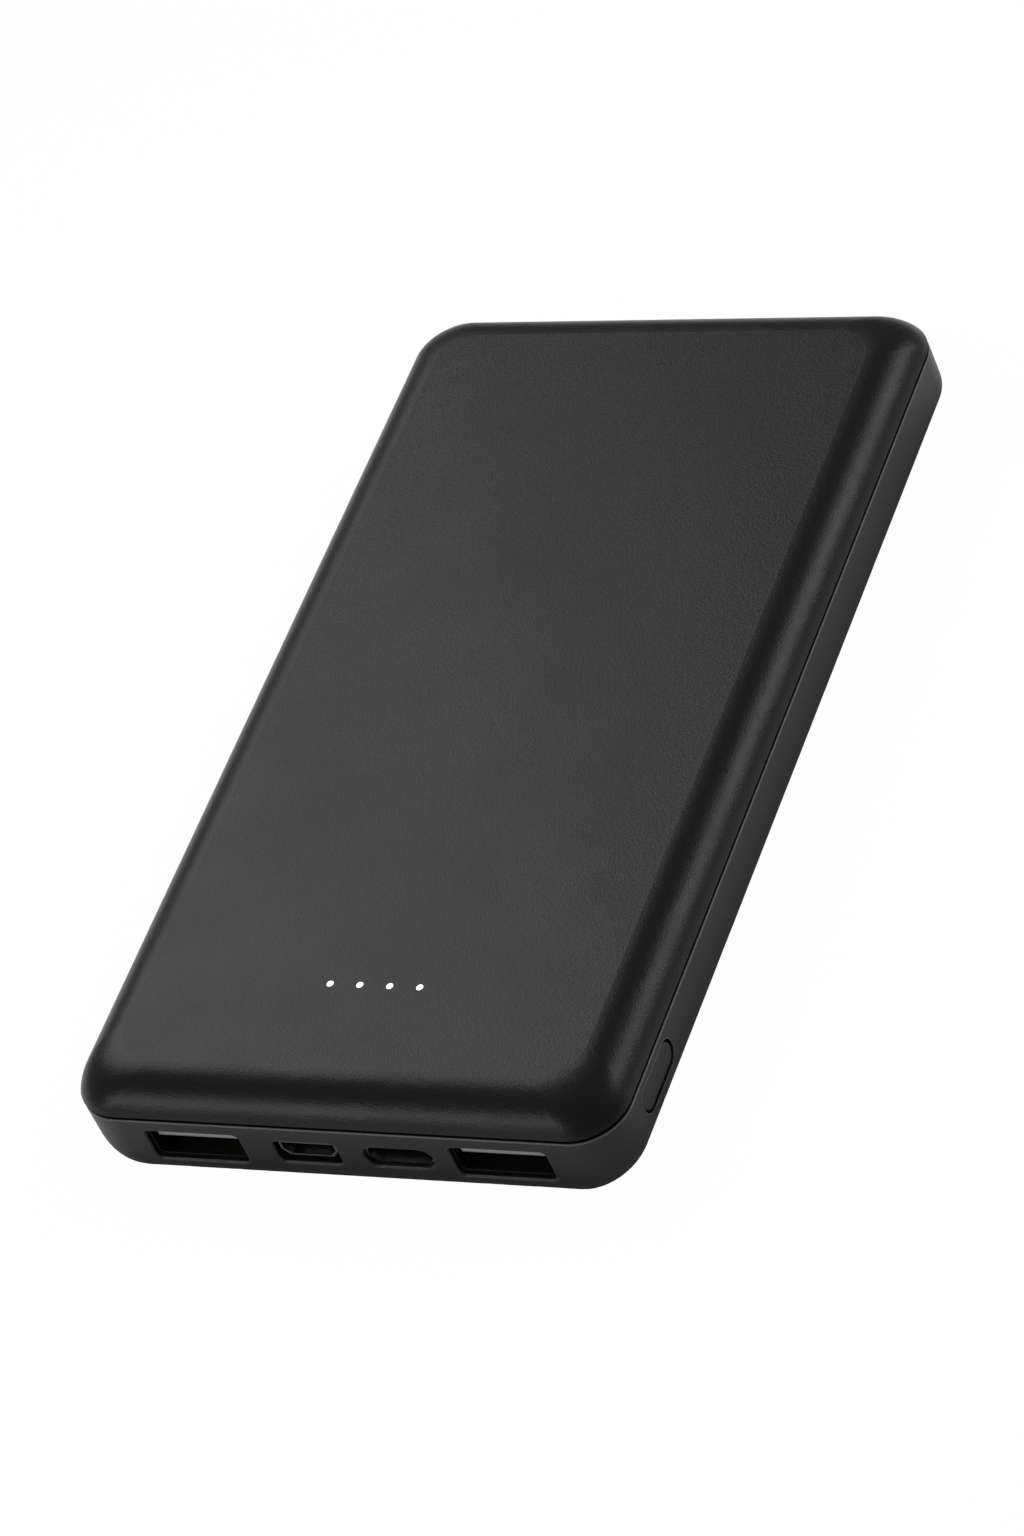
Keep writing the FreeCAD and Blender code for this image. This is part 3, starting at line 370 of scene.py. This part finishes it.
# The cover's lowest band, in the seam, is painted in shade.
finishes["cover_plastic"] = moulded_plastic(
    "cover_charcoal", *CHARCOAL, 0.35, CASE_GRAIN, 1.0,
    edge_gain=0.0, joint=(0, RIM_TOP + JOINT_GAP + EDGE_LINE))
# The case's rim is painted pale, partly as wear and partly as a painted highlight.
finishes["case_plastic"] = moulded_plastic(
    "case_charcoal", *CHARCOAL, 0.36, CASE_GRAIN, 1.0,
    rim=(RIM_TOP - EDGE_LINE, ABOVE_ALL), joint=(RIM_TOP - EDGE_LINE, ABOVE_ALL))
finishes["button_plastic"] = moulded_plastic(
    "button_charcoal", (0.0070, 0.0070, 0.0072), (0.0115, 0.0115, 0.0118), 0.36, 0.00018, 0.7)
finishes["switch_plastic"] = moulded_plastic(
    "switch_nylon", (0.008, 0.008, 0.008), (0.012, 0.012, 0.012), 0.5, 0.00012, 0.6)
finishes["socket_tongue"] = moulded_plastic(
    "tongue_polymer", (0.46, 0.46, 0.46), (0.54, 0.54, 0.54), 0.5, 0.0001, 0.5)
print("plastics:", ", ".join(finishes))

# %% [markdown]
# ## Metals
#
# Nickel on steel for the shells, tin on the legs and tabs, zinc on the screws
# and a thin flash of gold on the contacts. The shells' nickel is painted far
# darker than the nickel strip, as a painted shade for the dim inside of the
# ports. Tone noise shifts each between two colours, as plating does, and the
# drawn lines carry the bump.

# %% Material function: plated metal
METAL_SPREAD = 0.16
LINE_RELIEF = 0.6
LINE_DEPTH = 0.004 * MM


def plated_metal(name, dull, bright, roughness, line=0.00006, stretch=(1, 0.04, 1)):
    """Plating between two tones, with fine lines along the rolling direction."""
    material, tree, shader = start_material(name, Metallic=1.0)
    lines = use_group(tree, DRAWN, Line_Width=line)
    lines.inputs["Stretch"].default_value = stretch
    tone = two_tone(tree, lines.outputs["Tone"], dull, bright)
    tree.links.new(tone, shader.inputs["Base Color"])
    varied = math_node(tree, "MULTIPLY", lines.outputs["Height"], METAL_SPREAD)
    rough = math_node(tree, "ADD", varied, roughness - METAL_SPREAD / 2)
    tree.links.new(rough, shader.inputs["Roughness"])
    relief = add_node(tree, "Bump", {"Height": lines.outputs["Height"]},
                      Strength=LINE_RELIEF, Distance=LINE_DEPTH)
    tree.links.new(relief.outputs[0], shader.inputs["Normal"])
    return material


# The shells' nickel is painted far darker than the nickel strip: a painted shade for the dim inside
# of the ports.
finishes["socket_shell"] = plated_metal(
    "nickel_shell_painted_shade", (0.10, 0.10, 0.10), (0.19, 0.19, 0.19), 0.36)
finishes["tinned_metal"] = plated_metal(
    "tinned_leg", (0.48, 0.48, 0.49), (0.66, 0.66, 0.67), 0.3)
finishes["nickel_tab"] = plated_metal(
    "nickel_strip", (0.50, 0.49, 0.46), (0.66, 0.65, 0.61), 0.32)
finishes["screw_steel"] = plated_metal(
    "zinc_screw", (0.34, 0.35, 0.37), (0.55, 0.56, 0.58), 0.36, stretch=(1, 1, 0.2))
finishes["gold_contact"] = plated_metal(
    "gold_flash", (0.72, 0.50, 0.18), (0.86, 0.65, 0.30), 0.24)
print("finishes so far:", len(finishes))

# %% [markdown]
# ## Circuit board
#
# Solder mask is a thin clear-green lacquer over copper. Where a track runs
# under it, the green is lighter and stands a little proud. Tracks here are
# two sets of stripes from a wave texture, cut into runs by a blocky noise.

# %% Material: circuit board
TRACK_SCALE = 190.0
BLOCK_SCALE = 240.0
TRACK_WIDTH = 0.72
BLOCKS_WITH_X, BLOCKS_WITH_Y = 0.55, 0.62
COPPER_RELIEF = 0.6
COPPER_DEPTH = 0.03 * MM
LACQUER_ROUGHNESS, LACQUER_SPREAD = 0.2, 0.3
LACQUER = (0.004, 0.055, 0.022)
LACQUER_ON_COPPER = (0.012, 0.13, 0.05)


def solder_mask():
    """Green lacquer with copper tracks under it."""
    material, tree, shader = start_material("solder_mask_green", Coat_Weight=0.4)
    shader.inputs["Coat Roughness"].default_value = 0.15
    place = tree.nodes.new("ShaderNodeTexCoord").outputs["Object"]
    tracks = []
    for direction in ("X", "Y"):
        wave = add_node(tree, "TexWave", {"Vector": place}, Scale=TRACK_SCALE,
                        settings={"bands_direction": direction, "wave_profile": "TRI"})
        tracks.append(math_node(tree, "GREATER_THAN", wave.outputs["Fac"], TRACK_WIDTH))
    blocks = add_node(tree, "TexVoronoi", {"Vector": place}, Scale=BLOCK_SCALE,
                      settings={"distance": "CHEBYCHEV"})
    channel = add_node(tree, "SeparateColor", {0: blocks.outputs["Color"]})
    first = math_node(tree, "MULTIPLY", tracks[0],
                      math_node(tree, "GREATER_THAN", channel.outputs[0], BLOCKS_WITH_X))
    second = math_node(tree, "MULTIPLY", tracks[1],
                       math_node(tree, "GREATER_THAN", channel.outputs[1], BLOCKS_WITH_Y))
    copper = math_node(tree, "MAXIMUM", first, second)
    green = two_tone(tree, copper, LACQUER, LACQUER_ON_COPPER)
    tree.links.new(green, shader.inputs["Base Color"])
    grain = use_group(tree, GRAIN, Grain_Size=0.0004, Depth=0.2)
    height = math_node(tree, "ADD", copper, grain.outputs["Height"])
    relief = add_node(tree, "Bump", {"Height": height},
                      Strength=COPPER_RELIEF, Distance=COPPER_DEPTH)
    tree.links.new(relief.outputs[0], shader.inputs["Normal"])
    varied = math_node(tree, "MULTIPLY", grain.outputs["Patches"], LACQUER_SPREAD)
    rough = math_node(tree, "ADD", varied, LACQUER_ROUGHNESS)
    tree.links.new(rough, shader.inputs["Roughness"])
    return material


finishes["circuit_board"] = solder_mask()
print("board:", finishes["circuit_board"].name)

# %% [markdown]
# ## Small parts, foils and foams
#
# One function covers the rest: two colours mixed by speckle, a roughness and
# a bump of a chosen size. Fired ceramic is coarse and pale, chip resin is
# black with a fine sparkle, foam has deep pores and pouch foil is dented.

# %% Material function: speckled
def speckled(name, dark, light, roughness, grain, bump, metallic=0.0, spread=0.2):
    """Two close colours mixed by speckle, with uneven gloss and a bump."""
    material, tree, shader = start_material(name, Metallic=metallic)
    marks = use_group(tree, GRAIN, Grain_Size=grain, Depth=1.0, Patch_Depth=0.6)
    tone = two_tone(tree, marks.outputs["Speckle"], dark, light)
    tree.links.new(tone, shader.inputs["Base Color"])
    varied = math_node(tree, "MULTIPLY", marks.outputs["Patches"], spread)
    rough = math_node(tree, "ADD", varied, roughness - spread / 2, True)
    tree.links.new(rough, shader.inputs["Roughness"])
    relief = add_node(tree, "Bump", {"Height": marks.outputs["Height"]}, Distance=bump)
    tree.links.new(relief.outputs[0], shader.inputs["Normal"])
    return material


finishes["ferrite"] = speckled("ferrite_core", (0.03, 0.03, 0.033), (0.075, 0.075, 0.08),
                               0.6, 0.0003, 0.00004)
finishes["chip_resin"] = speckled("chip_epoxy", (0.009, 0.009, 0.01), (0.022, 0.022, 0.024),
                                  0.42, 0.00012, 0.00001)
finishes["capacitor_ceramic"] = speckled("capacitor_tan", (0.26, 0.17, 0.09), (0.40, 0.28, 0.16),
                                         0.4, 0.00016, 0.00001)
finishes["resistor_body"] = speckled("resistor_glaze", (0.015, 0.015, 0.018),
                                     (0.05, 0.05, 0.055), 0.25, 0.00014, 0.00001)
finishes["pouch_foil"] = speckled("pouch_laminate", (0.50, 0.51, 0.52), (0.66, 0.67, 0.68),
                                  0.32, 0.006, 0.0004, metallic=0.9)
finishes["mask_foam"] = speckled("mask_foam_black", (0.006, 0.006, 0.006), (0.02, 0.02, 0.02),
                                 0.85, 0.0004, 0.0003)
finishes["foam_pad"] = speckled("foam_grey", (0.03, 0.03, 0.03), (0.09, 0.09, 0.09),
                                0.9, 0.0006, 0.0005)
finishes["adhesive_pad"] = speckled("adhesive_white", (0.62, 0.62, 0.60), (0.74, 0.74, 0.72),
                                    0.7, 0.0005, 0.0001)
finishes["red_lead"] = speckled("red_silicone", (0.36, 0.012, 0.01), (0.45, 0.02, 0.015),
                                0.4, 0.0004, 0.00002)
finishes["black_lead"] = speckled("black_silicone", (0.008, 0.008, 0.008), (0.02, 0.02, 0.02),
                                  0.4, 0.0004, 0.00002)
finishes["amber_tape"] = speckled("polyimide_amber", (0.42, 0.16, 0.015), (0.55, 0.24, 0.03),
                                  0.2, 0.002, 0.00005)
print("finishes so far:", len(finishes))

# %% [markdown]
# ## Charge lights
#
# A clear acrylic guide carries light from the LEDs to four dots in the cover.
# Only the tips glow: a mask made from height feeds the emission colour, so
# the posts inside stay clear. The LEDs themselves are pale resin.

# %% Materials: light guide and LEDs
GUIDE_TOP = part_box("light_guide")[1][2]
TIP_DEPTH = 0.6 * MM
GLOW = 1.35
LEAST_GLOW = 0.8


def glowing_guide():
    """Clear acrylic that glows near its tips."""
    material, tree, shader = start_material(
        "light_guide_acrylic", Roughness=0.25, Base_Color=(0.9, 0.93, 0.95, 1),
        Emission_Strength=GLOW, IOR=1.49)
    place = tree.nodes.new("ShaderNodeTexCoord").outputs["Object"]
    split = add_node(tree, "SeparateXYZ", {0: place})
    tip = math_node(tree, "GREATER_THAN", split.outputs["Z"], GUIDE_TOP - TIP_DEPTH)
    haze = use_group(tree, GRAIN, Grain_Size=0.0002)
    uneven = math_node(tree, "MULTIPLY", haze.outputs["Speckle"], 1 - LEAST_GLOW)
    bright = math_node(tree, "ADD", LEAST_GLOW, uneven)
    glow = math_node(tree, "MULTIPLY", tip, bright)
    colour = add_node(tree, "CombineColor", {0: glow, 1: glow, 2: glow})
    tree.links.new(colour.outputs[0], shader.inputs["Emission Color"])
    return material


finishes["light_guide"] = glowing_guide()
finishes["led_body"] = speckled("led_resin", (0.80, 0.78, 0.60), (0.9, 0.9, 0.8),
                                0.2, 0.0003, 0.00001)
print("all finishes:", len(finishes))

# %% [markdown]
# ## Putting the finishes on
#
# The record names a material slot for every part. Each part's mesh keeps its
# shape, and only the material in its slot is changed.

# %% Assign finishes
slot_of = {part["node"]: part["material_slot"] for part in frame["record"]["subparts"]}
for name, piece in nodes.items():
    for place in piece.material_slots:
        place.material = finishes[slot_of[name]]
print("parts finished:", len(nodes))

# %% [markdown]
# ## Soft pads
#
# A strip of open-cell foam fills the air between the cell and the cover, and
# a thin adhesive pad holds the cell to the floor. A cut pad isn't a block:
# its knife-cut sides pull in between the corners, its edges are pinched and
# its free face swells. A grid of points is bent that way and closed with a
# second, flatter grid below. Simulated cloth would give nearly the same form
# on a pad only a millimetre thick, at a far higher cost.

# %% The form of a pad
SIDE_PULL = 0.6 * MM
EDGE_SHARPNESS = 10
CROWN = 0.1
DENT = 0.04
DENT_SCALE = 140


def pad_point(u, v, low, high, seam, face):
    """A point of the pad's face; u and v run from -1 to 1 across it."""
    middle, half = (low + high) / 2, (high - low) / 2
    x = middle.x + u * (half.x - SIDE_PULL * (1 - v * v))
    y = middle.y + v * (half.y - SIDE_PULL * (1 - u * u))
    swell = math.sqrt((1 - u ** EDGE_SHARPNESS) * (1 - v ** EDGE_SHARPNESS))
    crown = 1 - CROWN + CROWN * (1 - u * u) * (1 - v * v)
    dent = DENT * noise.noise(Vector((x, y, 0)) * DENT_SCALE)
    rest = low.z + (high.z - low.z) * seam
    if face == "top":
        return x, y, rest + (high.z - rest) * swell * min(1, crown + dent)
    return x, y, rest - (rest - low.z) * swell


# %% Pads
GRID = 28


def soft_pad(name, node, body, seam):
    """A swollen pad in the space of its node; seam is the pinched edge's height."""
    low, high = (Vector(corner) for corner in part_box(node))
    mesh = bmesh.new()
    grids = {}
    for face in ("top", "bottom"):
        for i in range(GRID + 1):
            for j in range(GRID + 1):
                border = i in (0, GRID) or j in (0, GRID)
                if border and face == "bottom":
                    grids[face, i, j] = grids["top", i, j]
                    continue
                u, v = (2 * k / GRID - 1 for k in (i, j))
                grids[face, i, j] = mesh.verts.new(pad_point(u, v, low, high, seam, face))
    for face in ("top", "bottom"):
        for i in range(GRID):
            for j in range(GRID):
                loop = [grids[face, i, j], grids[face, i + 1, j],
                        grids[face, i + 1, j + 1], grids[face, i, j + 1]]
                mesh.faces.new(loop if face == "top" else loop[::-1])
    for patch in mesh.faces:
        patch.smooth = True
    data = bpy.data.meshes.new(name)
    mesh.to_mesh(data)
    mesh.free()
    pad = bpy.data.objects.new(name, data)
    bpy.context.scene.collection.objects.link(pad)
    data.materials.append(finishes[slot_of[node]])
    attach(pad, body)
    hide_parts(node)
    return pad


foam = soft_pad("cover_foam_cushion", "cover_foam_pad", "case", 0.35)
tape = soft_pad("cell_adhesive_cushion", "cell_adhesive_pad", "case", 0.5)
print("pads:", foam.name, tape.name)

# %% [markdown]
# ## Studio
#
# Black plastic is lit by what it mirrors. A large soft panel behind the case
# lays a sheen over the flat cover. The ceiling is left dark, so a dark band
# runs where the cover begins to fall. Two smaller panels, low on the right
# and in front, put a soft line along the rolled edges. One big lamp would be
# simpler, but it would flatten the rolls.

# %% Panels
def soft_panel(name, azimuth, elevation, distance, width, height, radiance):
    """A rectangular lamp that faces the case from a compass direction."""
    data = bpy.data.lights.new(name, "AREA")
    data.shape = "RECTANGLE"
    data.size, data.size_y = width, height
    data.energy = radiance * math.pi * width * height
    lamp = bpy.data.objects.new(name, data)
    bpy.context.scene.collection.objects.link(lamp)
    right, up, back = camera_axes(math.radians(azimuth), math.radians(elevation), 0)
    turn = Matrix((right, up, back)).transposed().to_4x4()
    lamp.matrix_world = Matrix.Translation(back * distance) @ turn
    return lamp


PANEL_DISTANCE = 1.6
PANELS = {  # azimuth and elevation in degrees, width and height in metres, radiance
    "back_panel": (234, 43, 0.8, 0.8, 3.4),
    "side_panel": (133, 27, 0.6, 0.65, 4.6),
    "front_panel": (-32, 21, 0.6, 0.5, 4.6),
}
for name, (azimuth, elevation, width, height, radiance) in PANELS.items():
    soft_panel(name, azimuth, elevation, PANEL_DISTANCE, width, height, radiance)
print("panels:", ", ".join(PANELS))

# %% [markdown]
# ## Floor and world
#
# The floor is white to the camera and, near the case, to reflections, so the
# object stands on a clean page. The world is white to the camera only. For
# lighting it is a dim grey: a bright world would fill every reflection and
# the edges would lose shape.
#
# The floor lies a hair below the case and is clear from behind, with an
# opening that the case covers, so that the underside can be looked at too.

# %% How white the floor is
PAPER = 0.9
SHADE_REACH = 14 * MM
SHADE_POWER = 3.0
SHADE_SAMPLES = 12
FALLOFF = {"From Min": 0.1, "From Max": 0.24, "To Min": 1, "To Max": 0.12}


def white_to_camera(tree, direct, mirrored):
    """How white the floor glows, seen directly and in a mirror, and its paper tone.

    Under the case a painted shadow, from an occlusion node, darkens the paper
    tone and the mirrored glow. Far from the case both fall off to dark, a
    painted shade, so that the seam mirrors a dark horizon.
    """
    path = tree.nodes.new("ShaderNodeLightPath").outputs
    indirect = math_node(tree, "MAXIMUM", path["Is Glossy Ray"], path["Is Transmission Ray"])
    seen = math_node(tree, "MULTIPLY", path["Is Camera Ray"], direct)
    shade = add_node(tree, "AmbientOcclusion", Distance=SHADE_REACH,
                     settings={"samples": SHADE_SAMPLES})
    open_sky = math_node(tree, "POWER", shade.outputs["AO"], SHADE_POWER)
    place = tree.nodes.new("ShaderNodeTexCoord").outputs["Object"]
    away = add_node(tree, "VectorMath", {0: place}, settings={"operation": "LENGTH"})
    near = add_node(tree, "MapRange", {"Value": away.outputs["Value"]},
                    settings={"interpolation_type": "SMOOTHSTEP"})
    for socket, number in FALLOFF.items():
        near.inputs[socket].default_value = number
    # Painted shadow and falloff: this darkens both the mirrored glow and the paper tone.
    lit = math_node(tree, "MULTIPLY", open_sky, near.outputs[0])
    weight = math_node(tree, "MULTIPLY", lit, mirrored)
    paper = math_node(tree, "MULTIPLY", lit, PAPER)
    return math_node(tree, "MAXIMUM", seen, math_node(tree, "MULTIPLY", indirect, weight)), paper


# %% Floor
FLOOR_SIZE = 6.0
FLOOR_LEVEL = -0.05 * MM
SEEN_WHITE = 0.985
MIRRORED_WHITE = 0.95
RING = [(-1, -1), (1, -1), (1, 1), (-1, 1)]
OPENING = (0.8, 0.96)


def make_floor():
    """A wide sheet of paper around an opening that the case covers."""
    mesh = bpy.data.meshes.new("floor")
    half = FLOOR_SIZE / 2
    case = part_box("bottom_case")[1]
    corners = [(x * half, y * half, FLOOR_LEVEL) for x, y in RING]
    corners += [(x * case[0] * OPENING[0], y * case[1] * OPENING[1], FLOOR_LEVEL)
                for x, y in RING]
    mesh.from_pydata(corners, [], [(k, (k + 1) % 4, (k + 1) % 4 + 4, k + 4) for k in range(4)])
    floor = bpy.data.objects.new("floor", mesh)
    bpy.context.scene.collection.objects.link(floor)
    material, tree, shader = start_material("floor_paper", Roughness=0.9)
    glow = add_node(tree, "Emission", Strength=1.0)
    white, paper = white_to_camera(tree, SEEN_WHITE, MIRRORED_WHITE)
    tone = add_node(tree, "CombineColor", {0: paper, 1: paper, 2: paper})
    tree.links.new(tone.outputs[0], shader.inputs["Base Color"])
    mix = add_node(tree, "MixShader", {0: white, 1: shader.outputs[0], 2: glow.outputs[0]})
    behind = tree.nodes.new("ShaderNodeNewGeometry").outputs["Backfacing"]
    clear = tree.nodes.new("ShaderNodeBsdfTransparent")
    sided = add_node(tree, "MixShader", {0: behind, 1: mix.outputs[0], 2: clear.outputs[0]})
    tree.links.new(sided.outputs[0], tree.nodes["Material Output"].inputs["Surface"])
    mesh.materials.append(material)
    return floor


floor = make_floor()
print("floor at", round(FLOOR_LEVEL / MM, 2), "mm with", len(floor.data.polygons), "faces")

# %% World
DIM_WORLD = 0.2


def make_world():
    """White to the camera, dim grey to everything else."""
    world = bpy.data.worlds.new("studio_world")
    bpy.context.scene.world = world
    world.use_nodes = True
    tree = world.node_tree
    path = tree.nodes.new("ShaderNodeLightPath").outputs
    dim = add_node(tree, "Background", Color=(1, 1, 1, 1), Strength=DIM_WORLD)
    page = add_node(tree, "Background", Color=(1, 1, 1, 1), Strength=1.0)
    mix = add_node(tree, "MixShader", {0: path["Is Camera Ray"], 1: dim.outputs[0],
                                       2: page.outputs[0]})
    tree.links.new(mix.outputs[0], tree.nodes["World Output"].inputs["Surface"])


make_world()
bpy.context.scene.view_settings.view_transform = "Standard"
print("world:", bpy.context.scene.world.name)
